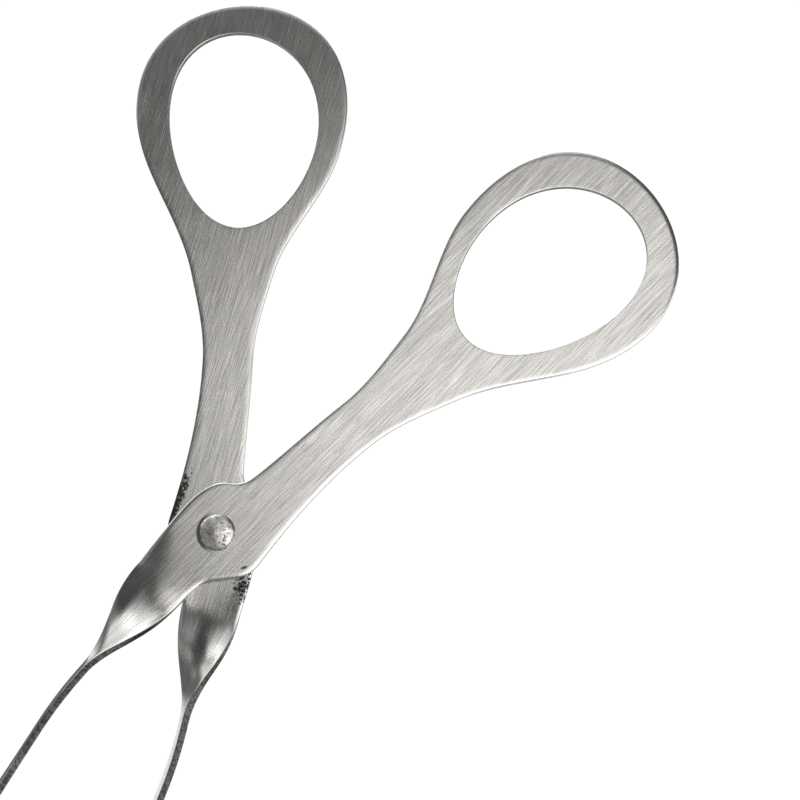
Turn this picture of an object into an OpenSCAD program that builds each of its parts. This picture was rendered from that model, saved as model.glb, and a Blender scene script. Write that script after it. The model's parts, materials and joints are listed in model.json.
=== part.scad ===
// Scissor pastry tongs: two identical sheet steel halves, one of them turned over,
// crossing on one rivet. Each half is a stamped blank with a finger loop, a neck and
// a flat round the pivot, then a twisted shank, a springy arm and a gripping paddle.
// Millimetres. +Y runs from the arms to the finger loops, +Z is up, and the halves
// turn about Z. A half is drawn as it lies when the tongs are shut, with the pivot at
// the origin, then turned open to the resting angle.

/* [Sheet] */
// Thickness of the steel sheet
sheet_t = 1.4; // [1:0.1:2.5]
// Width of the bevel that breaks the sheared edges
edge_break = 0.35; // [0.1:0.05:0.45]
// Running gap between the two flat faces at the pivot
plate_gap = 0.1; // [0.04:0.02:0.4]

/* [Opening] */
// Angle between the halves at rest, counted from shut
rest_opening = 20; // [0:1:50]
// Clear space left between the paddles when the tongs are shut
shut_gap = 0.4; // [0.2:0.1:4]

/* [Finger loop] */
// Distance from the pivot to the middle of the finger loop
loop_reach = 79.8; // [70:0.2:100]
// Angle of the loop's middle from the tongs' axis when shut
loop_angle = 14.7; // [12:0.1:20]
// Length of the finger hole
hole_l = 41.2; // [30:0.2:46]
// Width of the finger hole
hole_w = 31; // [22:0.2:34]
// Lean of the finger hole from the tongs' axis when shut
hole_lean = 20.5; // [10:0.5:26]
// Lean of the rim's outer edge from the tongs' axis when shut
rim_lean = 19.6; // [10:0.2:26]
// Mean width of the rim round the finger hole
rim_w = 5.1; // [4:0.1:9]
// How much wider the far half of the finger hole is, as a share of its width
hole_egg = 0.11; // [0:0.01:0.25]
// How much wider the far half of the rim's outer edge is, as a share of its width
rim_egg = 0.21; // [0:0.01:0.3]
// How far the ends of the finger hole are drawn to the outer side
hole_bow = 1.3; // [0:0.1:2.5]
// How far the finger hole lies from the loop's middle towards the other handle
hole_side = 0.4; // [0:0.1:1]

/* [Neck] */
// Angle of the neck's middle line from the tongs' axis when shut
neck_angle = 15.1; // [12:0.1:20]
// Distance from the pivot to the neck's narrowest place
neck_reach = 33.5; // [24:0.5:40]
// Width of the neck at its narrowest place
neck_w = 9.8; // [8:0.1:13]
// Distance from the pivot to the root, where the neck opens into the loop
root_reach = 50.8; // [44:0.2:55]
// Width of the root
root_w = 16.2; // [12:0.2:22]
// Angle by which each side of the root leans away from the neck's middle line
root_spread = 14.5; // [8:0.1:22]

/* [Pivot flat] */
// Distance from the pivot to the heel, the outer side of the flat
heel_reach = 10; // [8.5:0.1:13]
// Distance from the pivot to the slanted cut below the heel
cut_reach = 9.05; // [8:0.05:11]
// Length of the slanted cut
cut_l = 5.4; // [2:0.1:6]
// Distance from the pivot to the top of the lobe beside the neck
lobe_reach = 9.7; // [8.5:0.1:11]
// Distance from the pivot to the side of the lobe
lobe_side = 8.2; // [7:0.1:10]
// Distance from the pivot to the throat where the neck meets the lobe
throat_reach = 12.4; // [11:0.1:16]
// Sideways place of the throat
throat_side = 1; // [0:0.1:3]

/* [Shank and arm] */
// Width of the shank where its twist starts
shank_w = 11.4; // [9:0.1:14]
// Width of the arm after the twist
arm_w = 10; // [7:0.1:14]
// Distance from the pivot to the start of the twist
twist_start = 13; // [13:0.5:18]
// Length of the twist
twist_l = 22.5; // [16:0.5:35]
// Angle that the shank is twisted through
twist = 76; // [60:1:90]
// Sideways place of the shank where its twist starts
shank_side = 3; // [2:0.1:4]
// Sideways place of the knee where the arm turns inward
knee_side = 5.1; // [4:0.1:9]
// Distance from the pivot to the knee
knee_reach = 43; // [40:0.5:55]
// Length over which the knee is rounded
knee_l = 12; // [4:0.5:16]

/* [Paddle] */
// Distance from the pivot to the end of the paddle
tip_reach = 97; // [85:0.5:140]
// Length of the paddle with its flared start
paddle_l = 44; // [34:0.5:44]
// Width of the paddle
paddle_w = 22; // [12:0.5:34]
// Length of the flare between arm and paddle
flare_l = 22; // [10:0.5:24]
// Length of the paddle's rounded end
round_l = 10; // [5:0.5:10]

/* [Rivet] */
// Diameter of the rivet's shank
rivet_d = 4; // [3:0.1:6]
// Diameter of the rivet's domed head
head_d = 7; // [6.8:0.1:9]
// Height of the domed head
head_h = 1.25; // [0.8:0.05:2]
// Diameter of the flat hammered into the head
head_flat_d = 3.2; // [1:0.1:4]
// Diameter of the tail spread on the back
tail_d = 7; // [6.8:0.1:9]
// Height of the spread tail
tail_h = 0.9; // [0.6:0.05:1.5]
// Diameter of the flat on the tail
tail_flat_d = 3.2; // [1:0.1:4]
// Radial clearance of the rivet in its bores
bore_clear = 0.05; // [0.02:0.01:0.1]
// Clearance under the rivet's head
head_clear = 0.05; // [0.02:0.01:0.15]

/* [Hidden] */
steel = [0.76, 0.76, 0.75];
bright_steel = [0.82, 0.82, 0.81];

// Headings are in degrees, counted from +X towards +Y.
up = 90;
down = 270;
// Heading of the slanted cut, and of the lobe where it leaves the throat
cut_heading = 45;
lobe_heading = 205;
// Lean of the shank's inner edge and of the lobe's side from the tongs' axis
shank_lean = 12;
lobe_lean = 4;
// Angle of the lobe's top from the tongs' axis
lobe_angle = 24;
// Angle round the loop, from its far end, where the rim flows into the root
rim_end = 105;
// Points in one flowing curve, on one side of the rim, and round the finger hole
flow_steps = 8;
rim_steps = 21;
hole_steps = 72;
// Stations along the twist, the arm with its paddle, and the paddle's rounded end
twist_steps = 16;
arm_steps = 26;
round_steps = 10;
// Angle at which the rounded end stops, just short of a point
round_end = 86;
// How far a cutting solid stands clear of the face that it cuts
overcut = 0.2;
// Steps of the rivet's domes, and sides of its round shapes
dome_steps = 8;
round_sides = 64;

plate_mid = (plate_gap + sheet_t) / 2;
// Both halves together at the pivot
stack_t = plate_gap + 2 * sheet_t;
twist_end = twist_start + twist_l;
paddle_start = tip_reach - paddle_l;
round_start = tip_reach - round_l;
// Sideways place of the paddle's middle that leaves the shut gap between the pair
tip_side = (sheet_t + shut_gap - 2 * plate_mid * cos(twist)) / (2 * sin(twist));

function along(reach, angle) = reach * [sin(angle), cos(angle)];
function heading_of(step) = atan2(step[1], step[0]);
function ease(share) = let (u = min(1, max(0, share))) u * u * (3 - 2 * u);

// A flowing curve from one point and heading to another, without its last point
function flow(a, heading_a, b, heading_b, steps = flow_steps) =
  let (handle = norm(b - a) / 3)
  let (c = a + handle * [cos(heading_a), sin(heading_a)])
  let (d = b - handle * [cos(heading_b), sin(heading_b)])
  [for (i = [0 : steps - 1])
    let (u = i / steps, v = 1 - u)
    v * v * v * a + 3 * v * v * u * c + 3 * v * u * u * d + u * u * u * b];

// The loop is an egg: its middle, its lean, and a width that grows to the far end.
loop_middle = along(loop_reach, loop_angle);
function egg(turn, length, width, lean, share, bow, side) =
  let (lengthwise = length / 2 * cos(turn))
  let (sideways = width / 2 * sin(turn) * (1 + share * cos(turn)) + bow * cos(turn) * cos(turn) - side)
  loop_middle + lengthwise * [sin(lean), cos(lean)] + sideways * [cos(lean), -sin(lean)];
function rim_point(turn) = egg(turn, hole_l + 2 * rim_w, hole_w + 2 * rim_w, rim_lean, rim_egg, 0, 0);
function rim_heading(turn) = heading_of(rim_point(turn - 1) - rim_point(turn + 1));
finger_hole = [for (i = [hole_steps : -1 : 1])
  egg(360 * i / hole_steps, hole_l, hole_w, hole_lean, hole_egg, hole_bow, hole_side)];

// Key points of the blank round the pivot and the neck
shank_inner = [shank_w / 2 - shank_side, -twist_start];
shank_outer = [-shank_w / 2 - shank_side, -twist_start];
cut_middle = cut_reach * [sin(cut_heading), -cos(cut_heading)];
cut_along = [cos(cut_heading), sin(cut_heading)];
cut_high = cut_middle + cut_l / 2 * cut_along;
cut_low = cut_middle - cut_l / 2 * cut_along;
heel = [heel_reach, 0];
neck_middle = along(neck_reach, neck_angle);
neck_across = [cos(neck_angle), -sin(neck_angle)];
neck_outer = neck_middle + neck_w / 2 * neck_across;
neck_inner = neck_middle - neck_w / 2 * neck_across;
root_middle = along(root_reach, neck_angle);
root_outer = root_middle + root_w / 2 * neck_across;
root_inner = root_middle - root_w / 2 * neck_across;
neck_up = up - neck_angle;
neck_down = down - neck_angle;
throat = [-throat_side, throat_reach];
lobe_top = along(lobe_reach, -lobe_angle);
lobe_low = [-lobe_side, 0];

// Outline of the flat part of the blank, anticlockwise from the shank's inner corner:
// the cut side up to the heel, the handle round to the throat, and the lobe
cut_edge = concat(
  flow(shank_inner, up - shank_lean, cut_low, cut_heading),
  flow(cut_low, cut_heading, cut_high, cut_heading, 1),
  flow(cut_high, cut_heading, heel, up)
);
handle_edge = concat(
  flow(heel, up, neck_outer, neck_up),
  flow(neck_outer, neck_up, root_outer, neck_up - root_spread),
  flow(root_outer, neck_up - root_spread, rim_point(rim_end), rim_heading(rim_end)),
  [for (i = [0 : 2 * rim_steps - 1]) rim_point(rim_end * (1 - i / rim_steps))],
  flow(rim_point(-rim_end), rim_heading(-rim_end), root_inner, neck_down + root_spread),
  flow(root_inner, neck_down + root_spread, neck_inner, neck_down),
  flow(neck_inner, neck_down, throat, neck_down)
);
lobe_edge = concat(
  flow(throat, neck_down, lobe_top, lobe_heading),
  flow(lobe_top, lobe_heading, lobe_low, down - lobe_lean),
  flow(lobe_low, down - lobe_lean, shank_outer, down),
  [shank_outer]
);
flat_outline = concat(cut_edge, handle_edge, lobe_edge);
heel_at = len(cut_edge);
throat_at = heel_at + len(handle_edge);
lobe_at = throat_at + flow_steps;
corner_at = len(flat_outline) - 1;

// Stations along the shank, arm and paddle, as distances from the pivot
stations = concat(
  [for (i = [1 : twist_steps]) twist_start + twist_l * i / twist_steps],
  [for (i = [1 : arm_steps]) twist_end + (round_start - twist_end) * i / arm_steps],
  [for (i = [1 : round_steps]) round_start + round_l * sin(round_end * i / round_steps)]
);

// Middle line of the arm: two straight runs with a rounded knee between them
run_in = (shank_side - knee_side) / (knee_reach - twist_start);
run_out = (knee_side - tip_side) / (tip_reach - knee_reach);
function knee_bend(reach) =
  let (u = min(1, max(0, (reach - knee_reach) / knee_l + 0.5)))
  (run_out - run_in) * (knee_l * u * u / 2 + max(0, reach - knee_reach - knee_l / 2));
function arm_side(reach) = -shank_side + run_in * (reach - twist_start) + knee_bend(reach);
function arm_twist(reach) = twist * ease((reach - twist_start) / twist_l);
function round_share(reach) = reach < round_start ? 1 : sqrt(1 - pow((reach - round_start) / round_l, 2));
function half_width(reach) =
  let (arm = shank_w + (arm_w - shank_w) * ease((reach - twist_start) / twist_l))
  (arm + (paddle_w - arm) * ease((reach - paddle_start) / flare_l)) / 2 * round_share(reach);

// The whole blank, anticlockwise: flat part, outer edge of the arm, then its inner edge
last_station = len(stations) - 1;
blank = concat(
  flat_outline,
  [for (reach = stations) [arm_side(reach) - half_width(reach), -reach]],
  [for (i = [last_station : -1 : 0]) [arm_side(stations[i]) + half_width(stations[i]), -stations[i]]]
);

// Each point of an outline moved sideways, to the left of the way that the outline runs
function moved(outline, left) =
  [for (i = [0 : len(outline) - 1])
    let (before = outline[(i + len(outline) - 1) % len(outline)])
    let (after = outline[(i + 1) % len(outline)])
    let (way = (after - before) / norm(after - before))
    outline[i] + left * [-way[1], way[0]]];

// Forming: the flat part stays as it is, and the shank turns about its middle line
function formed(p, height) =
  let (reach = -p[1], turn = arm_twist(reach))
  reach <= twist_start ? [p[0], p[1], plate_mid + height] :
  let (side = p[0] - arm_side(reach))
  [arm_side(reach) + side * cos(turn) - height * sin(turn), p[1],
    plate_mid + side * sin(turn) + height * cos(turn)];

// Layers of the sheet from its lower to its upper face: inward step and height
layers = [
  [edge_break, -sheet_t / 2],
  [0, edge_break - sheet_t / 2],
  [0, sheet_t / 2 - edge_break],
  [edge_break, sheet_t / 2]
];
formed_points = [for (layer = layers) for (p = moved(blank, layer[0])) formed(p, layer[1])];

// Walls between stacked rings of points, each ring anticlockwise seen from above
function walls(count, rings) =
  [for (k = [0 : rings - 2]) for (i = [0 : count - 1])
    let (a = k * count + i, b = k * count + (i + 1) % count)
    each [[a, a + count, b + count], [a, b + count, b]]];

// One face of the half: a triangle that holds the pivot bore, a fan on each of its
// sides, the strip of the handle from heel to far end, and the strip of the arm.
// A fan starts at a corner that sees all its other points.
function span(first, last) = [for (i = [first : last]) i];
pivot_faces = [
  [heel_at, lobe_at, corner_at],
  concat(corner_at, span(0, heel_at)),
  concat(heel_at, span(throat_at, lobe_at)),
  concat(corner_at, span(lobe_at, corner_at - 1))
];
handle_pairs = len(handle_edge) / 2;
handle_faces =
  [for (i = [0 : handle_pairs - 1])
    let (outer = heel_at + i, inner = throat_at - i)
    i < handle_pairs - 1 ? [outer, outer + 1, inner - 1, inner] : [outer, outer + 1, inner]];
arm_faces =
  [for (j = [0 : last_station])
    let (outer = corner_at + j, inner = (len(blank) - j) % len(blank))
    each [[outer, outer + 1, inner], [outer + 1, len(blank) - j - 1, inner]]];
function raised(faces, by) = [for (face = faces) [for (i = face) i + by]];
// A flipped face keeps its first point first, so that its fan keeps its corner
function flipped(faces) = [for (face = faces) [for (i = [len(face) : -1 : 1]) face[i % len(face)]]];

module formed_blank() {
  count = len(blank);
  face = concat(pivot_faces, handle_faces, arm_faces);
  polyhedron(
    formed_points,
    concat(walls(count, len(layers)), face, raised(flipped(face), count * (len(layers) - 1)))
  );
}

// Cutting solid for a hole with broken edges on both faces
module pierced(outline) {
  count = len(outline);
  flare = edge_break + overcut;
  steps = [
    [flare, -sheet_t / 2 - overcut],
    [0, edge_break - sheet_t / 2],
    [0, sheet_t / 2 - edge_break],
    [flare, sheet_t / 2 + overcut]
  ];
  points = [for (step = steps) for (p = moved(outline, -step[0])) [p[0], p[1], plate_mid + step[1]]];
  ends = [span(0, count - 1)];
  polyhedron(
    points,
    concat(walls(count, len(steps)), ends, raised(flipped(ends), count * (len(steps) - 1)))
  );
}

// One half as it lies when the tongs are shut
module half() {
  difference() {
    formed_blank();
    pierced(finger_hole);
    cylinder(h = stack_t + 2 * overcut, r = rivet_d / 2 + bore_clear, center = true, $fn = round_sides);
  }
}

// The resting place: the middle of the tongs' box lies over the origin, its base at zero
function opened(p) =
  let (turn = -rest_opening / 2)
  [p[0] * cos(turn) - p[1] * sin(turn), p[0] * sin(turn) + p[1] * cos(turn), p[2]];
resting_points = [for (p = formed_points) opened(p)];
far_end = max([for (p = resting_points) p[1]]);
near_end = min([for (p = resting_points) p[1]]);
lift = max([for (p = resting_points) p[2]]);
module at_rest() {
  translate([0, -(far_end + near_end) / 2, lift]) children();
}

module front_half() {
  color(steel) at_rest() rotate(-rest_opening / 2) half();
}

// The same stamping turned over about the tongs' long axis
module rear_half() {
  color(steel) at_rest() rotate([0, 180, 0]) rotate(-rest_opening / 2) half();
}

// Rivet: a shank through both halves, a domed head in front and a spread tail behind
function dome(width, flat, height) =
  [for (i = [0 : dome_steps])
    let (u = 90 * i / dome_steps)
    [flat / 2 + (width - flat) / 2 * cos(u), height * sin(u)]];
module pivot_rivet() {
  head_seat = stack_t / 2 + head_clear;
  tail_seat = -stack_t / 2;
  head = [for (p = dome(head_d, head_flat_d, head_h)) [p[0], head_seat + p[1]]];
  tail = [for (p = dome(tail_d, tail_flat_d, tail_h)) [p[0], tail_seat - p[1]]];
  profile = concat(
    [[0, tail_seat - tail_h]],
    [for (i = [len(tail) - 1 : -1 : 0]) tail[i]],
    [[rivet_d / 2, tail_seat], [rivet_d / 2, head_seat]],
    head,
    [[0, head_seat + head_h]]
  );
  color(bright_steel) at_rest() rotate_extrude($fn = round_sides) polygon(profile);
}

front_half();
rear_half();
pivot_rivet();
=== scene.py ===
# %% [markdown]
# # Scissor pastry tongs in brushed sheet steel
# Two identical stampings cross on one rivet, and one of them is turned over.
# Squeezing the finger loops brings the paddles together.
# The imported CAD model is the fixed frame. Each of its three solids gets a finer
# twin here, made from the same sizes, because rounded sheet edges and a smooth
# twist decide how polished metal looks.

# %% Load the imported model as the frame
import json
import math

import bpy
import numpy as np
from mathutils import Matrix, Quaternion, Vector, noise
from mathutils.geometry import delaunay_2d_cdt


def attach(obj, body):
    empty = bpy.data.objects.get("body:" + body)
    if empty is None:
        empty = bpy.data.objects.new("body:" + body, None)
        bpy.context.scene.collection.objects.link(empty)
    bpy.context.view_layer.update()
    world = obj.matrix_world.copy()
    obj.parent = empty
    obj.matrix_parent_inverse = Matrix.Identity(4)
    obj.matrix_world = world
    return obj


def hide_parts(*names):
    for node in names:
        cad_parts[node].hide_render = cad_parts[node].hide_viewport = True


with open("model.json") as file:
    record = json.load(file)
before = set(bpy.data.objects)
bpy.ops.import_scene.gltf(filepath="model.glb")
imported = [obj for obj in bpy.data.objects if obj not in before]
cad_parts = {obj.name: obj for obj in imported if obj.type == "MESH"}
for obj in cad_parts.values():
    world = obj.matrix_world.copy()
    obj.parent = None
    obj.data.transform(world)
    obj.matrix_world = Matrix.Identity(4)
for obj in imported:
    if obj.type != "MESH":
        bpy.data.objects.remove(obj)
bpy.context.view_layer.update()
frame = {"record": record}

scene = bpy.context.scene
scene.view_settings.view_transform = "Standard"
pivot = Vector(frame["record"]["behaviour"]["joints"][0]["pos_m"])
MM = 0.001

# %% [markdown]
# ## The camera
# The tongs are seen from above, a little from the right, with a long lens close by.
# A camera matrix holds its right, up and backward directions as columns, so it can be
# written down directly from those three directions.

# %% Camera
camera = bpy.data.objects.new("camera", bpy.data.cameras.new("camera"))
scene.collection.objects.link(camera)
camera.data.lens = 90
camera.data.sensor_width = 36
camera.data.clip_start = 0.01
camera_right = Vector((0.88768, 0.45505, -0.07043))
camera_up = Vector((-0.43894, 0.88244, 0.16923))
camera_back = camera_right.cross(camera_up)
camera_offset = Vector((72.389, -7.307, 375.416))
camera.matrix_world = Matrix((camera_right, camera_up, camera_back)).transposed().to_4x4()
camera.location = pivot + camera_offset * MM
scene.camera = camera
print("camera stands at", tuple(round(v, 4) for v in camera.location))

# %% [markdown]
# ## Sizes of one half
# The sizes repeat those of the CAD source, in millimetres, with the pivot at the origin
# and the tongs shut. The counts of points differ: a render shows the corners of a coarse
# curve, so the curves here are finer. The edge of the finger hole also lies `hole_lip`
# further in than the solid's, which is how large the hole looks on the real tongs.

# %% Sizes
sheet_t, plate_gap, rest_opening, shut_gap = 1.4, 0.1, 20, 0.4
loop_reach, loop_angle, rim_w = 79.8, 14.7, 5.1
hole_l, hole_w, hole_lean, hole_egg, hole_bow, hole_side = 41.2, 31, 20.5, 0.11, 1.3, 0.4
hole_lip = 0.8
rim_lean, rim_egg, rim_end = 19.6, 0.21, 105
neck_angle, neck_reach, neck_w = 15.1, 33.5, 9.8
root_reach, root_w, root_spread = 50.8, 16.2, 14.5
heel_reach, cut_reach, cut_l, cut_heading, shank_lean = 10, 9.05, 5.4, 45, 12
lobe_reach, lobe_side, lobe_angle, lobe_heading, lobe_lean = 9.7, 8.2, 24, 205, 4
throat_reach, throat_side = 12.4, 1
shank_w, arm_w, twist_start, twist_l, twist = 11.4, 10, 13, 22.5, 76
shank_side, knee_side, knee_reach, knee_l = 3, 5.1, 43, 12
tip_reach, paddle_l, paddle_w, flare_l, round_l, round_end = 97, 44, 22, 22, 10, 86
rivet_d, head_d, head_h = 4, 7, 1.25
tail_d, tail_h, tail_flat_d, bore_clear, head_clear = 7, 0.9, 3.2, 0.05, 0.05
plate_mid = (plate_gap + sheet_t) / 2
stack_t = plate_gap + 2 * sheet_t
twist_cos, twist_sin = math.cos(math.radians(twist)), math.sin(math.radians(twist))
tip_side = (sheet_t + shut_gap - 2 * plate_mid * twist_cos) / (2 * twist_sin)
print("paddles lie", round(tip_side, 3), "mm from the middle when shut")

# %% [markdown]
# ## Outline of the flat blank
# A stamping starts as a flat blank. Its outline is a chain of flowing curves between a few
# points with a heading each, an egg for the finger loop, and the two edges of the arm.
# The same chain draws the CAD solid, so the two outlines agree within a few hundredths of a millimetre.

# %% Curves
def compass(heading):
    return np.array([math.cos(math.radians(heading)), math.sin(math.radians(heading))])


def along(reach, angle):
    return reach * compass(90 - angle)


def flow(a, heading_a, b, heading_b, steps=24):
    handle = np.linalg.norm(b - a) / 3
    c, d = a + handle * compass(heading_a), b - handle * compass(heading_b)
    u = np.linspace(0, 1, steps, endpoint=False)[:, None]
    return (1 - u) ** 3 * a + 3 * (1 - u) ** 2 * u * c + 3 * (1 - u) * u**2 * d + u**3 * b


def egg(turn, length, width, lean, share, bow=0, side=0):
    turn = np.radians(turn)[..., None]
    lengthwise = length / 2 * np.cos(turn)
    sideways = width / 2 * np.sin(turn) * (1 + share * np.cos(turn)) + bow * np.cos(turn) ** 2 - side
    return along(loop_reach, loop_angle) + lengthwise * compass(90 - lean) + sideways * compass(-lean)


def rim(turn):
    return egg(np.asarray(turn, float), hole_l + 2 * rim_w, hole_w + 2 * rim_w, rim_lean, rim_egg)


def rim_heading(turn):
    step = rim(turn - 1) - rim(turn + 1)
    return math.degrees(math.atan2(step[1], step[0]))


# %% Flat part of the outline, anticlockwise from the shank's inner corner
up, down = 90, 270
neck_up, neck_down = up - neck_angle, down - neck_angle
neck_across = compass(-neck_angle)
shank_inner = np.array([shank_w / 2 - shank_side, -twist_start])
shank_outer = np.array([-shank_w / 2 - shank_side, -twist_start])
cut_middle = cut_reach * compass(cut_heading - 90)
cut_low, cut_high = (cut_middle + s * cut_l / 2 * compass(cut_heading) for s in (-1, 1))
heel, throat = np.array([heel_reach, 0.0]), np.array([-throat_side, throat_reach])
neck_inner, neck_outer = (along(neck_reach, neck_angle) + s * neck_w / 2 * neck_across for s in (-1, 1))
root_inner, root_outer = (along(root_reach, neck_angle) + s * root_w / 2 * neck_across for s in (-1, 1))
lobe_top, lobe_low = along(lobe_reach, -lobe_angle), np.array([-lobe_side, 0.0])
flat_outline = np.vstack([
    flow(shank_inner, up - shank_lean, cut_low, cut_heading),
    flow(cut_low, cut_heading, cut_high, cut_heading, 6),
    flow(cut_high, cut_heading, heel, up),
    flow(heel, up, neck_outer, neck_up),
    flow(neck_outer, neck_up, root_outer, neck_up - root_spread),
    flow(root_outer, neck_up - root_spread, rim(rim_end), rim_heading(rim_end)),
    rim(np.linspace(rim_end, -rim_end, 120, endpoint=False)),
    flow(rim(-rim_end), rim_heading(-rim_end), root_inner, neck_down + root_spread),
    flow(root_inner, neck_down + root_spread, neck_inner, neck_down),
    flow(neck_inner, neck_down, throat, neck_down),
    flow(throat, neck_down, lobe_top, lobe_heading),
    flow(lobe_top, lobe_heading, lobe_low, down - lobe_lean),
    flow(lobe_low, down - lobe_lean, shank_outer, down),
    [shank_outer],
])
print("flat part:", len(flat_outline), "points")

# %% Arm and paddle: a middle line with a rounded knee, and a width along it
run_in = (shank_side - knee_side) / (knee_reach - twist_start)
run_out = (knee_side - tip_side) / (tip_reach - knee_reach)
twist_end, paddle_start, round_start = twist_start + twist_l, tip_reach - paddle_l, tip_reach - round_l


def ease(share):
    u = np.clip(share, 0, 1)
    return u * u * (3 - 2 * u)


def arm_side(reach):
    u = np.clip((reach - knee_reach) / knee_l + 0.5, 0, 1)
    bend = (run_out - run_in) * (knee_l * u * u / 2 + np.maximum(0, reach - knee_reach - knee_l / 2))
    return -shank_side + run_in * (reach - twist_start) + bend


def half_width(reach):
    arm = shank_w + (arm_w - shank_w) * ease((reach - twist_start) / twist_l)
    end = np.sqrt(1 - (np.maximum(reach - round_start, 0) / round_l) ** 2)
    return (arm + (paddle_w - arm) * ease((reach - paddle_start) / flare_l)) / 2 * end


twist_steps, arm_steps, round_steps = 72, 78, 24
round_turns = np.radians(np.linspace(0, round_end, round_steps + 1)[1:])
stations = np.concatenate([
    np.linspace(twist_start, twist_end, twist_steps + 1)[1:],
    np.linspace(twist_end, round_start, arm_steps + 1)[1:],
    round_start + round_l * np.sin(round_turns),
])
outer_edge = np.stack([arm_side(stations) - half_width(stations), -stations], 1)
inner_edge = np.stack([arm_side(stations) + half_width(stations), -stations], 1)
blank = np.vstack([flat_outline, outer_edge, inner_edge[::-1]])
print("whole blank:", len(blank), "points")

# %% Finger hole and bore, both clockwise
hole_points, bore_points = 180, 64
seen_l, seen_w = hole_l - 2 * hole_lip, hole_w - 2 * hole_lip
hole_turns = np.linspace(0, 360, hole_points, endpoint=False)
finger_hole = egg(hole_turns, seen_l, seen_w, hole_lean, hole_egg, hole_bow, hole_side)
bore_turns = np.linspace(2 * math.pi, 0, bore_points, endpoint=False)
bore = (rivet_d / 2 + bore_clear) * np.stack([np.cos(bore_turns), np.sin(bore_turns)], 1)
print("finger hole:", len(finger_hole), "points, bore:", len(bore))

# %% [markdown]
# ## The blank as sheet metal with rolled and broken edges
# A stamping die pulls the sheet's face down a little before it cuts, so each face rolls off gently
# beside the edge, the upper one more than the lower, then turns over a small broken corner into the
# sheared wall. Inside the finger hole and the bore the rolled edge is narrower.
# A Bevel modifier gives one even radius and can't make that profile, so each outline is repeated
# as a stack of rings that run round the edge like the layers of an onion.
# One extra ring lies just inside on the flat face: it keeps the flat's shading flat.

# %% Rings round an edge
roll_w, corner_round, flat_margin = 0.85, 0.2, 0.1
upper_drop, lower_drop = 0.07, 0.045
roll_steps, corner_steps, skin = 5, 6, 0.03
hole_share, hole_drop_share, bore_share = 0.6, 0.3, 0.4


def moved(outline, left):
    way = np.roll(outline, -1, 0) - np.roll(outline, 1, 0)
    way /= np.linalg.norm(way, axis=1)[:, None]
    return outline + left * np.stack([-way[:, 1], way[:, 0]], 1)


def face_profile(scale, roll_drop):
    roll_tilt = math.atan(2 * roll_drop / roll_w)
    steps = [(corner_round + roll_w + flat_margin, 0.0, 0.0)]
    for u in np.linspace(0, 1, roll_steps, endpoint=False):
        steps.append((corner_round + roll_w * (1 - u), roll_drop * u * u, u * math.sin(roll_tilt)))
    for tilt in np.linspace(roll_tilt, math.pi / 2, corner_steps + 1):
        inset = corner_round * (1 - math.sin(tilt)) / (1 - math.sin(roll_tilt))
        drop = roll_drop + corner_round * (math.cos(roll_tilt) - math.cos(tilt))
        steps.append((inset, drop, math.sin(tilt)))
    return [(scale * inset, sheet_t / 2 - scale * drop, share) for inset, drop, share in steps]


def edge_profile(scale, drop_share):
    lower_face = face_profile(scale, lower_drop * drop_share)[::-1]
    lower_face = [(inset, -height, share) for inset, height, share in lower_face]
    return face_profile(scale, upper_drop * drop_share) + lower_face


# %% One flat plate: walls from the rings, caps from the innermost ring of each outline
verts, quads, edge_share, caps = [], [], [], []
edges = ((blank, 1.0, 1.0), (finger_hole, hole_share, hole_drop_share), (bore, bore_share, 1.0))
for outline, scale, drop_share in edges:
    count, first = len(outline), len(verts)
    for inset, height, share in edge_profile(scale, drop_share):
        verts += [(x, y, height) for x, y in moved(outline, inset + skin)]
        edge_share += [share] * count
    rings = (len(verts) - first) // count
    here = np.arange(count)
    after = np.roll(here, -1)
    for k in range(rings - 1):
        high, low = first + k * count, first + (k + 1) * count
        quads += np.stack([low + here, low + after, high + after, high + here], 1).tolist()
    caps.append((first, first + (rings - 1) * count, count))
print("rings give", len(verts), "points and", len(quads), "quads")

# %% Points inside the flat part where the shank is crowned
outer_side = flow(lobe_low, down - lobe_lean, shank_outer, down)
inner_side = flow(shank_inner, up - shank_lean, cut_low, cut_heading)
seed_low, seed_high, seed_rows, seed_step, seed_margin = -12.2, -5, 8, 0.9, 2.1
seeds = []
for y in np.linspace(seed_low, seed_high, seed_rows):
    x_from = np.interp(-y, -outer_side[:, 1], outer_side[:, 0]) + seed_margin
    x_to = np.interp(y, inner_side[:, 1], inner_side[:, 0]) - seed_margin
    seed_columns = round((x_to - x_from) / seed_step) + 1
    seeds += [(x, y) for x in np.linspace(x_from, x_to, seed_columns)]
print("flat part gets", len(seeds), "points inside")

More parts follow.
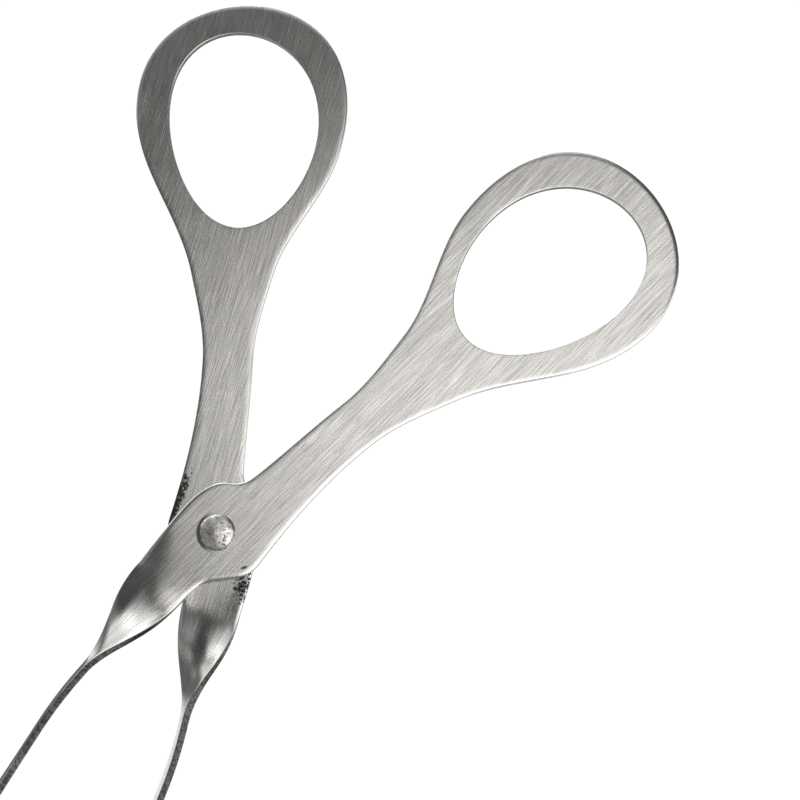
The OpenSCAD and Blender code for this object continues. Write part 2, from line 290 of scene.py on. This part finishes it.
# %% Caps: a grid for the arm, and a filled flat part with two holes
corner, total, columns = len(flat_outline) - 1, len(blank), 14
keep_inside, merge_within = 2, 1e-6
faces = list(quads)
for side in (0, 1):
    own = [list(range(cap[side], cap[side] + cap[2])) for cap in caps]
    rows = []
    for j in range(len(stations)):
        left, right = own[0][corner + j], own[0][(total - j) % total]
        between = np.linspace(verts[left], verts[right], columns + 1)[1:-1]
        rows.append([left, *range(len(verts), len(verts) + columns - 1), right])
        verts += between.tolist()
        edge_share += [0.0] * (columns - 1)
    strips = [[a[k], b[k], b[k + 1], a[k + 1]] for a, b in zip(rows, rows[1:]) for k in range(columns)]
    tip_left, tip_right = own[0][corner + len(stations)], own[0][total - len(stations)]
    strips.append([rows[-1][0], tip_left, tip_right, *rows[-1][:0:-1]])
    faces += [strip if side == 0 else strip[::-1] for strip in strips]
    loops = [own[0][: corner + 1] + rows[0][1:-1], own[1], own[2]]
    order, rims = [], []
    for loop in loops:
        rims += [(len(order) + k, len(order) + (k + 1) % len(loop)) for k in range(len(loop))]
        order += loop
    face_z = verts[order[0]][2]
    order += range(len(verts), len(verts) + len(seeds))
    verts += [(x, y, face_z) for x, y in seeds]
    edge_share += [0.0] * len(seeds)
    points = [Vector(verts[i][:2]) for i in order]
    _, _, triangles, origins, _, _ = delaunay_2d_cdt(points, rims, [], keep_inside, merge_within)
    for triangle in triangles:
        a, b, c = (order[origins[i][0]] for i in triangle)
        if any({a, b, c} <= set(hole) for hole in loops[1:]):
            continue
        (ax, ay, _), (bx, by, _), (cx, cy, _) = verts[a], verts[b], verts[c]
        upward = (bx - ax) * (cy - ay) - (by - ay) * (cx - ax) > 0
        faces.append([a, b, c] if upward == (side == 0) else [a, c, b])
print("blank has", len(faces), "faces")

# %% [markdown]
# ## The crown of the shank
# Before it twists, the press bows the shank: its outer edge bends down, most of all past the heel.
# The whole sheet moves, so every point is lifted or lowered by the same rule on both faces.
# Inside the reach of the other half the sheet stays nearly flat, because the plates slide on each other.

# %% Height of the crown
crown_slope, crown_curve = 0.036, 0.0113
crown_from, crown_full, crown_fade, crown_end, crown_side = 7.5, 17, 25, 36, 5.2
crown_top = crown_slope / (2 * crown_curve)
handle_end, handle_fade = 2, 6


def crown(x, y):
    side = np.clip(x - arm_side(np.maximum(-y, twist_start)), -crown_side, crown_side)
    bow = crown_curve * (side - crown_top) ** 2
    shown = ease((np.hypot(x, y) - crown_from) / (crown_full - crown_from))
    shown = shown * ease((-y - handle_end) / handle_fade)
    shown = shown * (1 - ease((-y - crown_fade) / (crown_end - crown_fade)))
    return shown * (crown_curve * crown_top**2 - bow)


spot = np.array(verts)
lift = crown(spot[:, 0], spot[:, 1])
print("crown from", round(lift.min(), 3), "to", round(lift.max(), 3), "mm")

# %% [markdown]
# ## A flat map for the brushing
# Brushing happens before the shank is twisted, so its lines follow the metal round the twist.
# Each corner therefore remembers its place on the flat blank in two UV maps: one along and across
# the brushing, one plain. The two faces were brushed in slightly different directions.

# %% Mesh with its maps
grain_angle = {"upper": 8.0, "lower": 1.0}
lower_shift = 0.7

flat_mesh = bpy.data.meshes.new("blank")
crowned = spot + np.stack([0 * lift, 0 * lift, lift], 1)
flat_mesh.from_pydata((crowned * MM).tolist(), [], faces)
flat_mesh.validate()
corner_vert = np.empty(len(flat_mesh.loops), int)
flat_mesh.loops.foreach_get("vertex_index", corner_vert)
face_of_corner = np.repeat(np.arange(len(flat_mesh.polygons)), [p.loop_total for p in flat_mesh.polygons])
face_height = np.array([spot[list(p.vertices), 2].mean() for p in flat_mesh.polygons])
below = (face_height < 0)[face_of_corner]
x, y = spot[corner_vert, 0] * MM, spot[corner_vert, 1] * MM
lean = np.radians(np.where(below, grain_angle["lower"], grain_angle["upper"]))
grain_along = x * np.sin(lean) + y * np.cos(lean) + below * lower_shift
grain_map = np.stack([grain_along, x * np.cos(lean) - y * np.sin(lean)], 1)
for name, values in (("grain", grain_map), ("blank", np.stack([x, y], 1))):
    flat_mesh.uv_layers.new(name=name).data.foreach_set("uv", values.astype(np.float32).ravel())
for name, values in (("edge", np.array(edge_share)), ("lower", spot[:, 2] < 0)):
    attribute = flat_mesh.attributes.new(name, "FLOAT", "POINT")
    attribute.data.foreach_set("value", values.astype(np.float32))
flat_mesh.polygons.foreach_set("use_smooth", np.ones(len(flat_mesh.polygons), bool))
print("maps:", [layer.name for layer in flat_mesh.uv_layers])

# %% [markdown]
# ## Writing node sums as Python
# Materials and Geometry Nodes both work by nodes that pass numbers along wires.
# This small class holds one such wire. Sums on it add the Math nodes, and `node` adds any other
# node: its type, its settings, then the values or wires of its sockets.

# %% A wire with arithmetic
class Wire:
    def __init__(self, tree, socket=None):
        self.tree, self.socket = tree, socket

    def plug(self, socket, value):
        if isinstance(value, Wire):
            self.tree.links.new(value.socket, socket)
        else:
            socket.default_value = value

    def node(self, kind, settings=None, inputs=None):
        made = self.tree.nodes.new(kind)
        for key, value in (settings or {}).items():
            setattr(made, key, value)
        for key, value in (inputs or {}).items():
            self.plug(made.inputs[key], value)
        return Wire(self.tree, made.outputs[0] if len(made.outputs) else None)

    def out(self, key):
        return Wire(self.tree, self.socket.node.outputs[key])

    def math(self, operation, *others):
        return self.node("ShaderNodeMath", {"operation": operation}, dict(enumerate((self, *others))))

    def __add__(self, other):
        return self.math("ADD", other)

    __radd__ = __add__

    def __mul__(self, other):
        return self.math("MULTIPLY", other)

    __rmul__ = __mul__

    def __sub__(self, other):
        return self.math("SUBTRACT", other)

    def __rsub__(self, other):
        return self * -1 + other

    def __truediv__(self, other):
        return self.math("DIVIDE", other)

    def clamp(self):
        return self.node("ShaderNodeClamp", None, {"Value": self})

    def smooth(self, low, high):
        span = {"Value": self, "From Min": low, "From Max": high}
        return self.node("ShaderNodeMapRange", {"interpolation_type": "SMOOTHSTEP"}, span)


print("a wire understands + - * / and any node")

# %% [markdown]
# ## Brushed stainless steel
# The belt leaves fine parallel scratches: long, hair thin, each a slightly different tone.
# They could be an image, but noise stretched along the brushing has no pixels and no repeat.
# Hairs, specks, a few long scores and slow drifts are mixed. They tint the metal and change its
# roughness, and the hairs raise a small bump, which spreads highlights across the lines.
# The tumbled edges are smoother and lose most of the lines.

# %% Helpers for a finish
def new_finish(name):
    finish = bpy.data.materials.new(name)
    finish.use_nodes = True
    finish.node_tree.nodes.clear()
    return finish, Wire(finish.node_tree)


def metal_output(wire, inputs):
    shader = wire.node("ShaderNodeBsdfPrincipled", None, inputs)
    wire.node("ShaderNodeOutputMaterial", None, {"Surface": shader})


def blended(wire, share, first, second):
    return wire.node("ShaderNodeMix", {"data_type": "RGBA"}, {0: share, 6: first, 7: second}).out(2)


def tone(wire, share, dark, light):
    return blended(wire, share, (*dark, 1), (*light, 1))


def split(wire, place):
    parts = wire.node("ShaderNodeSeparateXYZ", None, {"Vector": place})
    return parts.out("X"), parts.out("Y")


def noise_at(wire, place, scale, detail=2.0, rough=0.5):
    inputs = {"Vector": place, "Scale": scale, "Detail": detail, "Roughness": rough}
    return wire.node("ShaderNodeTexNoise", {"noise_dimensions": "3D"}, inputs)


def bump(wire, height_mm):
    return wire.node("ShaderNodeBump", None, {"Strength": 1.0, "Distance": MM, "Height": height_mm})


# %% Hairs, specks and scores along the brushing
brushed_steel, bench = new_finish("brushed_steel")
grain_place = bench.node("ShaderNodeUVMap", {"uv_map": "grain"})
along_grain, across_grain = split(bench, grain_place)
per_metre, score_line, speck_scale = 1 / MM, 0.06, 4500.0


def stretched(length_mm, width_mm, layer, slant=0.0, detail=0.0):
    slanted = across_grain + along_grain * slant
    place = {"X": along_grain * (per_metre / length_mm), "Y": slanted * (per_metre / width_mm), "Z": layer}
    return noise_at(bench, bench.node("ShaderNodeCombineXYZ", None, place), 1.0, detail)


def scores(length_mm, width_mm, layer, slant):
    from_line = (stretched(length_mm, width_mm, layer, slant) - 0.5).math("ABSOLUTE")
    return 1 - from_line.smooth(0.0, score_line)


hair_share, speck_share, drift_share = 0.5, 0.42, 0.12
bright_share, dark_share, brushing_shift = 0.055, 0.07, 0.028
hairs = stretched(length_mm=7, width_mm=0.075, layer=3.3)
specks = noise_at(bench, grain_place, speck_scale, 1.0)
bright_scores = scores(14, 0.6, 1.3, 0.03) + scores(9, 0.5, 5.7, -0.05)
dark_scores = scores(11, 0.55, 9.1, 0.01)
drifts = stretched(length_mm=30, width_mm=2.5, layer=7.1, detail=1.0)
brushing = hairs * hair_share + specks * speck_share + bright_scores * bright_share
brushing = brushing - dark_scores * dark_share + drifts * drift_share - brushing_shift
print("brushing mixed from hairs, specks, scores and slow drifts")

# %% Worn edges
edge = bench.node("ShaderNodeAttribute", {"attribute_name": "edge"}).out("Fac")
worn_from, worn_full, worn_loss = 0.03, 0.25, 0.6
worn = edge.smooth(worn_from, worn_full)
streak = (brushing - 0.5) * (1 - worn * worn_loss)
print("edges lose most of the brushing")

# %% [markdown]
# ### Dark patches, painted shadow and painted wall shade
# Dark patches lie on the lower face beside the pivot, a painted shadow lies on the upper face beside the
# rivet head, and painted shade lies in the rough sheared walls.
# Soft patches on the flat blank say where, and noise breaks the dark patches into flecks.

# %% Dark patches and painted rivet shadow beside the pivot
blank_place = bench.node("ShaderNodeUVMap", {"uv_map": "blank"})
blank_x, blank_y = split(bench, blank_place)
flat_x, flat_y = blank_x * per_metre, blank_y * per_metre
lower = bench.node("ShaderNodeAttribute", {"attribute_name": "lower"}).out("Fac")


def patch(x, y, wide, tall, lean):
    c, s = math.cos(math.radians(lean)), math.sin(math.radians(lean))
    across, up_along = flat_x - x, flat_y - y
    u, v = (across * c + up_along * s) * (1 / wide), (up_along * c - across * s) * (1 / tall)
    return 1 - (u * u + v * v).smooth(0.1, 1.0)


# Dark flecked patches on the lower face, beside the heel and the lobe.
heel_patch = patch(x=10.4, y=0.8, wide=2.0, tall=12.0, lean=10)
lobe_patch = patch(x=-9.0, y=-8.4, wide=4.6, tall=4.2, lean=0) * 0.8
inner_mark = patch(x=8.2, y=-2.2, wide=0.35, tall=0.9, lean=-35) * (1 - lower)
# Painted shadow: a dark ring on the upper face round the rivet head, on its left side only.
ring_r, ring_core, ring_edge = 3.6, 0.28, 0.55
ring_x, ring_y = -0.8, 0.6
around = (flat_x * flat_x + flat_y * flat_y).math("SQRT")
left_side = ((flat_x * ring_x - flat_y * ring_y) / around).smooth(0.1, 0.8)
off_ring = (around - ring_r).math("ABSOLUTE").smooth(ring_core, ring_edge)
rivet_shadow = (1 - off_ring) * left_side * (1 - lower)
fleck_scale, fleck_detail, fleck_rough, fleck_strength = 1500.0, 4.0, 0.7, 4.0
patch_strength, patch_shift, mark_strength = 1.15, 0.6, 0.9
flecks = noise_at(bench, blank_place, fleck_scale, fleck_detail, fleck_rough)
dark_patches = (heel_patch + lobe_patch).clamp() * lower
flecked = (dark_patches * patch_strength - patch_shift + (flecks - 0.5) * fleck_strength).smooth(0.0, 0.3)
patches_and_shadow = flecked * dark_patches.smooth(0.05, 0.3) + (inner_mark + rivet_shadow).clamp() * mark_strength
print("grime lies beside the pivot")

# %% Painted shade on the sheared walls: darkest on the arms and inside the finger hole
loop_x, loop_y = along(loop_reach, loop_angle)
(long_x, long_y), (wide_x, wide_y) = compass(90 - hole_lean), compass(-hole_lean)
from_x, from_y = flat_x - loop_x, flat_y - loop_y
lengthwise = (from_x * long_x + from_y * long_y) / (seen_l / 2)
sideways = (from_x * wide_x + from_y * wide_y) / (seen_w / 2)
in_hole = 1 - (lengthwise * lengthwise + sideways * sideways).smooth(1.3, 1.5)
on_arm = (flat_y * -1).smooth(10, 20)
pit_scale, pit_share, wall_shade, deep_wall_shade = 1800.0, 0.14, 0.4, 0.5
wall_from, wall_full = 0.6, 0.92
steel_place = bench.node("ShaderNodeTexCoord").out("Object")
pits = noise_at(bench, steel_place, pit_scale, 3.0, 0.6).smooth(0.4, 0.65)
# Painted shade: the sheared walls are darkened, most on the arms and in the finger hole, with pits mixed in.
wall_shade_tone = pits * pit_share + wall_shade + (on_arm + in_hole).clamp() * deep_wall_shade
sheared = edge.smooth(wall_from, wall_full) * wall_shade_tone
shade_and_flecks = (patches_and_shadow + sheared).clamp()
print("walls hold dirt")

# %% The finished brushed steel
dark_steel, light_steel = (0.42, 0.415, 0.40), (0.88, 0.87, 0.85)
worn_steel, shade_fleck_colour = (0.92, 0.91, 0.89, 1), (0.03, 0.027, 0.024, 1)
streak_contrast, worn_cover, shade_fleck_cover = 2.7, 0.8, 0.96
plain_rough, streak_rough, worn_rough, shade_fleck_rough, scratch_depth = 0.205, 0.3, 0.05, 0.25, 0.011
steel_tone = tone(bench, (streak * streak_contrast + 0.5).clamp(), dark_steel, light_steel)
steel_tone = blended(bench, worn * worn_cover, steel_tone, worn_steel)
# The darkest colour paints the wall shade and the rivet's shadow, and also the dark patches beside the
# pivot.
steel_tone = blended(bench, shade_and_flecks * shade_fleck_cover, steel_tone, shade_fleck_colour)
steel_rough = plain_rough - streak * streak_rough - worn * worn_rough + shade_and_flecks * shade_fleck_rough
relief = bump(bench, hairs * (1 - worn) * scratch_depth)
metal_output(bench, {"Base Color": steel_tone, "Roughness": steel_rough, "Metallic": 1.0, "Normal": relief})
print("brushed steel uses", len(brushed_steel.node_tree.nodes), "nodes")

# %% [markdown]
# ## Forming the half
# A press twists the shank about its middle line and leaves the handle flat. That is a rule, so
# Geometry Nodes do it: the flat blank goes in, every point is turned by an angle that grows along
# the shank, then the half is opened to its resting angle and, for the rear one, turned over.
# One tree with named sizes makes both halves.

# %% The forming tree
forming = bpy.data.node_groups.new("form_half", "GeometryNodeTree")
forming.interface.new_socket("Half", in_out="OUTPUT", socket_type="NodeSocketGeometry")
forming.interface.new_socket("Blank", in_out="INPUT", socket_type="NodeSocketGeometry")
for name in (
    "Twist", "Twist Start", "Twist Length", "Shank Side", "Run In", "Run Out", "Knee Reach",
    "Knee Length", "Plate Height", "Opening", "Facing", "Pivot Y", "Pivot Z",
):
    forming.interface.new_socket(name, in_out="INPUT", socket_type="NodeSocketFloat")
forming.interface.new_socket("Finish", in_out="INPUT", socket_type="NodeSocketMaterial")
press = Wire(forming)
given = press.node("NodeGroupInput")
place = press.node("ShaderNodeSeparateXYZ", None, {"Vector": press.node("GeometryNodeInputPosition")})
across, reach, height = place.out("X"), place.out("Y") * -1, place.out("Z")

# %% Twist about the middle line
share = ((reach - given.out("Twist Start")) / given.out("Twist Length")).clamp()
turn = share * share * (3 - share * 2) * given.out("Twist")
past_knee = reach - given.out("Knee Reach")
knee_share = (past_knee / given.out("Knee Length") + 0.5).clamp()
straight = (past_knee - given.out("Knee Length") * 0.5).math("MAXIMUM", 0.0)
rounded = given.out("Knee Length") * knee_share * knee_share * 0.5
knee = (given.out("Run Out") - given.out("Run In")) * (rounded + straight)
middle = given.out("Run In") * (reach - given.out("Twist Start")) + knee - given.out("Shank Side")
side = across - middle
formed_x = middle + side * turn.math("COSINE") - height * turn.math("SINE")
formed_z = given.out("Plate Height") + side * turn.math("SINE") + height * turn.math("COSINE")

# %% Open, turn over and place
opening = given.out("Opening")
opened_x = formed_x * opening.math("COSINE") + reach * opening.math("SINE")
opened_y = formed_x * opening.math("SINE") - reach * opening.math("COSINE")
resting = press.node("ShaderNodeCombineXYZ", None, {
    "X": opened_x * given.out("Facing"),
    "Y": opened_y + given.out("Pivot Y"),
    "Z": formed_z * given.out("Facing") + given.out("Pivot Z"),
})
shaped = press.node("GeometryNodeSetPosition", None, {"Geometry": given.out("Blank"), "Position": resting})
whole = press.node("GeometryNodeRealizeInstances", None, {"Geometry": shaped})
finished = press.node("GeometryNodeSetMaterial", None, {"Geometry": whole, "Material": given.out("Finish")})
press.node("NodeGroupOutput", None, {"Half": finished})
print("forming tree has", len(forming.nodes), "nodes")


# %% Press both halves
def press_half(name, facing):
    half = bpy.data.objects.new(name, flat_mesh.copy())
    scene.collection.objects.link(half)
    modifier = half.modifiers.new("forming", "NODES")
    modifier.node_group = forming
    sizes = {
        "Twist": math.radians(twist), "Twist Start": twist_start * MM, "Twist Length": twist_l * MM,
        "Shank Side": shank_side * MM, "Run In": run_in, "Run Out": run_out,
        "Knee Reach": knee_reach * MM, "Knee Length": knee_l * MM, "Plate Height": plate_mid * MM,
        "Opening": math.radians(-rest_opening / 2), "Facing": facing,
        "Pivot Y": pivot.y, "Pivot Z": pivot.z, "Finish": brushed_steel,
    }
    for item in forming.interface.items_tree:
        if item.name in sizes:
            modifier[item.identifier] = sizes[item.name]
    graph = bpy.context.evaluated_depsgraph_get()
    formed = half.evaluated_get(graph)
    mesh = bpy.data.meshes.new_from_object(formed, preserve_all_data_layers=True, depsgraph=graph)
    half.modifiers.clear()
    half.data = mesh
    print(name, len(mesh.polygons), "faces, box", [round(v / MM, 1) for v in half.dimensions])
    return half


front_steel = press_half("front_half_steel", 1.0)
rear_steel = press_half("rear_half_steel", -1.0)

# %% [markdown]
# ## The rivet
# One rivet holds the halves. Its head is a low, slightly pitted dome, and its tail is spread
# flat behind. A lathe profile gives the round form: the head's side flows up into a brow and on
# into a shallow bow. A little noise along the profile's height makes the hammered surface.

# %% Rivet profile, swept round its axis
def dome(width, flat, height, steps=18):
    turns = np.linspace(0, math.pi / 2, steps + 1)
    return [(flat / 2 + (width - flat) / 2 * math.cos(u), height * math.sin(u)) for u in turns]


head_seat, tail_seat = stack_t / 2 + head_clear, -stack_t / 2
head_bow, brow_r, side_steps, bow_steps = 0.05, 3.0, 10, 14
brow = np.array([brow_r, head_h - head_bow * brow_r**2])
brow_heading = 180 - math.degrees(math.atan(2 * head_bow * brow_r))
head = flow(np.array([head_d / 2, 0.0]), up, brow, brow_heading, side_steps).tolist()
head += [(r, head_h - head_bow * r**2) for r in np.linspace(brow_r, 0, bow_steps, endpoint=False)]
head = [(r, head_seat + z) for r, z in head]
flat_rings = [0.8, 0.6, 0.4, 0.2]
tail = [(r, tail_seat - z) for r, z in dome(tail_d, tail_flat_d, tail_h)]
tail += [(tail_flat_d / 2 * s, tail_seat - tail_h) for s in flat_rings]
profile = tail[::-1] + [(rivet_d / 2, tail_seat), (rivet_d / 2, head_seat)] + head
print("rivet profile has", len(profile), "points")

# %% Rivet mesh with shallow dents in its head and tail
spokes, dent_depth, dent_scale, dent_start = 96, 0.05, 0.9, 0.3
rivet_verts, rivet_faces = [], []
for r, z in profile:
    for a in np.linspace(0, 2 * math.pi, spokes, endpoint=False):
        spot_on = Vector((r * math.cos(a), r * math.sin(a), z))
        dented = abs(z) > stack_t / 2 + dent_start
        sunk = dent_depth * (0.5 + 0.5 * noise.noise(spot_on * dent_scale)) if dented else 0.0
        rivet_verts.append(spot_on - Vector((0, 0, math.copysign(sunk, z))))
for k in range(len(profile) - 1):
    for i in range(spokes):
        j = (i + 1) % spokes
        rivet_faces.append((k * spokes + i, k * spokes + j, (k + 1) * spokes + j, (k + 1) * spokes + i))
last = (len(profile) - 1) * spokes
rivet_faces += [tuple(reversed(range(spokes))), tuple(range(last, last + spokes))]
rivet_mesh = bpy.data.meshes.new("rivet_steel")
rivet_mesh.from_pydata([(v * MM + pivot)[:] for v in rivet_verts], [], rivet_faces)
rivet_mesh.polygons.foreach_set("use_smooth", np.ones(len(rivet_mesh.polygons), bool))
rivet_steel = bpy.data.objects.new("rivet_steel", rivet_mesh)
scene.collection.objects.link(rivet_steel)
print("rivet has", len(rivet_mesh.polygons), "faces")

# %% Hammered finish
hammered_steel, bench = new_finish("hammered_steel")
spot_place = bench.node("ShaderNodeTexCoord").out("Object")
mottle_scale, rivet_pit_scale = 900.0, 2400.0
mottle_tone, pit_tone, tone_shift = 1.5, 0.9, 0.05
mottle_depth, pit_depth, least_rough, mottle_rough = 0.03, 0.04, 0.2, 0.2
dark_rivet, light_rivet = (0.2, 0.19, 0.178), (0.9, 0.89, 0.86)
mottle = noise_at(bench, spot_place, mottle_scale, 3.0, 0.6)
pits = noise_at(bench, spot_place, rivet_pit_scale, 3.0, 0.6).smooth(0.54, 0.66)
hammer_share = (mottle * mottle_tone - pits * pit_tone - tone_shift).clamp()
hammer_tone = tone(bench, hammer_share, dark_rivet, light_rivet)
hammer_rough = least_rough + mottle * mottle_rough
dents = bump(bench, mottle * mottle_depth - pits * pit_depth)
metal_output(bench, {"Base Color": hammer_tone, "Roughness": hammer_rough, "Metallic": 1.0, "Normal": dents})
rivet_mesh.materials.append(hammered_steel)
print("hammered steel uses", len(hammered_steel.node_tree.nodes), "nodes")

# %% [markdown]
# ## Floor and light
# Metal shows what is round it, so the studio is part of the finish: a dim room, one soft light
# overhead in four panels of different brightness, and white cards that stand round the tongs and
# draw the bright bands on the twisted shanks and the rounded edges. Between the cards the room stays
# dark, as a photographer does with black flags. The floor is white for the camera. Mirrored in the
# steel it is bright only from the middle of the twist back to the handles, right of the pivot, and in
# one strip left of the front shank. Elsewhere a painted shadow darkens it, seen only in reflections,
# which gives the twist its contrast.

# %% Floor
floor_half = 3
floor_corners = [(x * floor_half, y * floor_half, 0) for x, y in ((-1, -1), (1, -1), (1, 1), (-1, 1))]
floor_mesh = bpy.data.meshes.new("floor")
floor_mesh.from_pydata(floor_corners, [], [(0, 1, 2, 3)])
floor = bpy.data.objects.new("floor", floor_mesh)
scene.collection.objects.link(floor)
pale_floor, bench = new_finish("pale_floor")
path = bench.node("ShaderNodeLightPath")
seen = (path.out("Is Camera Ray") + path.out("Is Glossy Ray") + path.out("Is Transmission Ray")).clamp()
metres_x, metres_y = split(bench, bench.node("ShaderNodeTexCoord").out("Object"))
floor_x, floor_y = metres_x * per_metre, metres_y * per_metre
strip_left, strip_right, right_edge = (-22, -20.5), (-15, -14), (2.5, 5)
back_edge, back_edge_near, strip_low = (-27.7, -25.7), (-26, -24), (-34, -33)
strip_high, strip_soft, strip_slope = -29.1, 0.8, 0.55
near = floor_x.smooth(*strip_left)
behind = floor_y.smooth(*back_edge) * (1 - near * (1 - floor_y.smooth(*back_edge_near)))
strip = near * (1 - floor_x.smooth(*strip_right)) * floor_y.smooth(*strip_low)
over_strip = floor_y - strip_high + (floor_x - strip_left[1]) * strip_slope
strip = strip * (1 - over_strip.smooth(-strip_soft, strip_soft))
bright = (behind + strip + floor_x.smooth(*right_edge)).clamp()
# Painted shadow: mirrored in the steel, the floor outside the bright parts turns dark.
reflected_shadow_depth, floor_grey, floor_glow = 0.95, 0.22, 0.92
glossy_shadow = 1 - path.out("Is Glossy Ray") * (1 - bright) * reflected_shadow_depth
glow_tone = tone(bench, glossy_shadow, (0, 0, 0), (1, 1, 1))
matt = bench.node("ShaderNodeBsdfDiffuse", None, {"Color": (floor_grey, floor_grey, floor_grey, 1)})
glow = bench.node("ShaderNodeEmission", None, {"Color": glow_tone, "Strength": floor_glow})
shining = bench.node("ShaderNodeAddShader", None, {0: matt, 1: glow})
floor_shader = bench.node("ShaderNodeMixShader", None, {0: seen, 1: matt, 2: shining})
bench.node("ShaderNodeOutputMaterial", None, {"Surface": floor_shader})
floor_mesh.materials.append(pale_floor)
print("floor is white to the camera")


# %% Kinds of light: a panel of the overhead light, and a standing card
panel_middle, panel_height, panel_spin = np.array([0.0515, 0.061]), 0.387, -40
warm = (1.0, 0.985, 0.96)


def soft_light(name, place, aim, size, brightness, colour=(1, 1, 1), spin=0):
    lamp = bpy.data.objects.new(name, bpy.data.lights.new(name, "AREA"))
    lamp.data.shape, lamp.data.size, lamp.data.size_y = "RECTANGLE", size[0], size[1]
    lamp.data.energy, lamp.data.color = brightness * math.pi * size[0] * size[1], colour
    lamp.location = place
    lamp.rotation_mode = "QUATERNION"
    facing = (Vector(aim) - Vector(place)).to_track_quat("-Z", "Y")
    lamp.rotation_quaternion = Quaternion((0, 0, 1), math.radians(spin)) @ facing
    scene.collection.objects.link(lamp)
    return lamp


def card(name, heading, size, brightness, base=0.0, distance=0.45):
    x, y = compass(heading) * distance
    middle_height = base + size[1] / 2
    return soft_light(name, (x, y, middle_height), (0, 0, middle_height), size, brightness)


def panel(name, u_range, v_range, brightness):
    u, v = sum(u_range) / 2, sum(v_range) / 2
    x, y = panel_middle + u * compass(panel_spin) + v * compass(panel_spin + 90)
    size = (u_range[1] - u_range[0], v_range[1] - v_range[0])
    return soft_light(name, (x, y, panel_height), (x, y, 0), size, brightness, warm, panel_spin)


# %% Overhead light and cards
panel("overhead", (-0.145, 0.02), (-0.092, 0.128), 1.06)
panel("overhead_right", (0.02, 0.15), (-0.141, 0.128), 1.7)
panel("overhead_low", (-0.13, 0.02), (-0.141, -0.092), 0.7)
panel("overhead_left", (-0.19, -0.145), (-0.095, 0.13), 0.26)
card("card_left", 150, (0.54, 0.24), 1.55)
card("card_left_top", 150, (0.54, 0.26), 0.75, 0.24)
card("card_left_high", 165, (0.36, 0.2), 0.34, 0.5)
card("card_back", 120, (0.42, 0.68), 0.58)
card("card_right", -1, (0.74, 0.84), 1.4, 0.16)
card("card_low", -134, (0.2, 0.95), 0.24, 0.3)

# %% Dim room
room_grey, paddle_side_grey = 0.055, 0.3
room = bpy.data.worlds.new("dim_room")
scene.world = room
room.use_nodes = True
room.node_tree.nodes.clear()
bench = Wire(room.node_tree)
_, room_y = split(bench, bench.node("ShaderNodeTexCoord"))
toward_paddles = (room_y * -1).smooth(0.2, 0.85)
room_tone = tone(bench, toward_paddles, (room_grey,) * 3, (paddle_side_grey,) * 3)
walls = bench.node("ShaderNodeBackground", None, {"Color": room_tone})
backdrop = bench.node("ShaderNodeBackground", None, {"Color": (1, 1, 1, 1)})
seen = bench.node("ShaderNodeLightPath").out("Is Camera Ray")
room_shader = bench.node("ShaderNodeMixShader", None, {0: seen, 1: walls, 2: backdrop})
bench.node("ShaderNodeOutputWorld", None, {"Surface": room_shader})
print("room is dim, and white to the camera")

# %% [markdown]
# ## Hand the pieces to the frame
# Each fine piece stands for its CAD solid and rides on that solid's body, so the tongs
# open and close here as they do in the motion model.

# %% Ride and replace
for piece, body, node, slot in (
    (front_steel, "front", "front_half", "sheet_steel"),
    (rear_steel, "rear", "rear_half", "sheet_steel"),
    (rivet_steel, "rear", "pivot_rivet", "rivet_steel"),
):
    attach(piece, body)
    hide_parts(node)
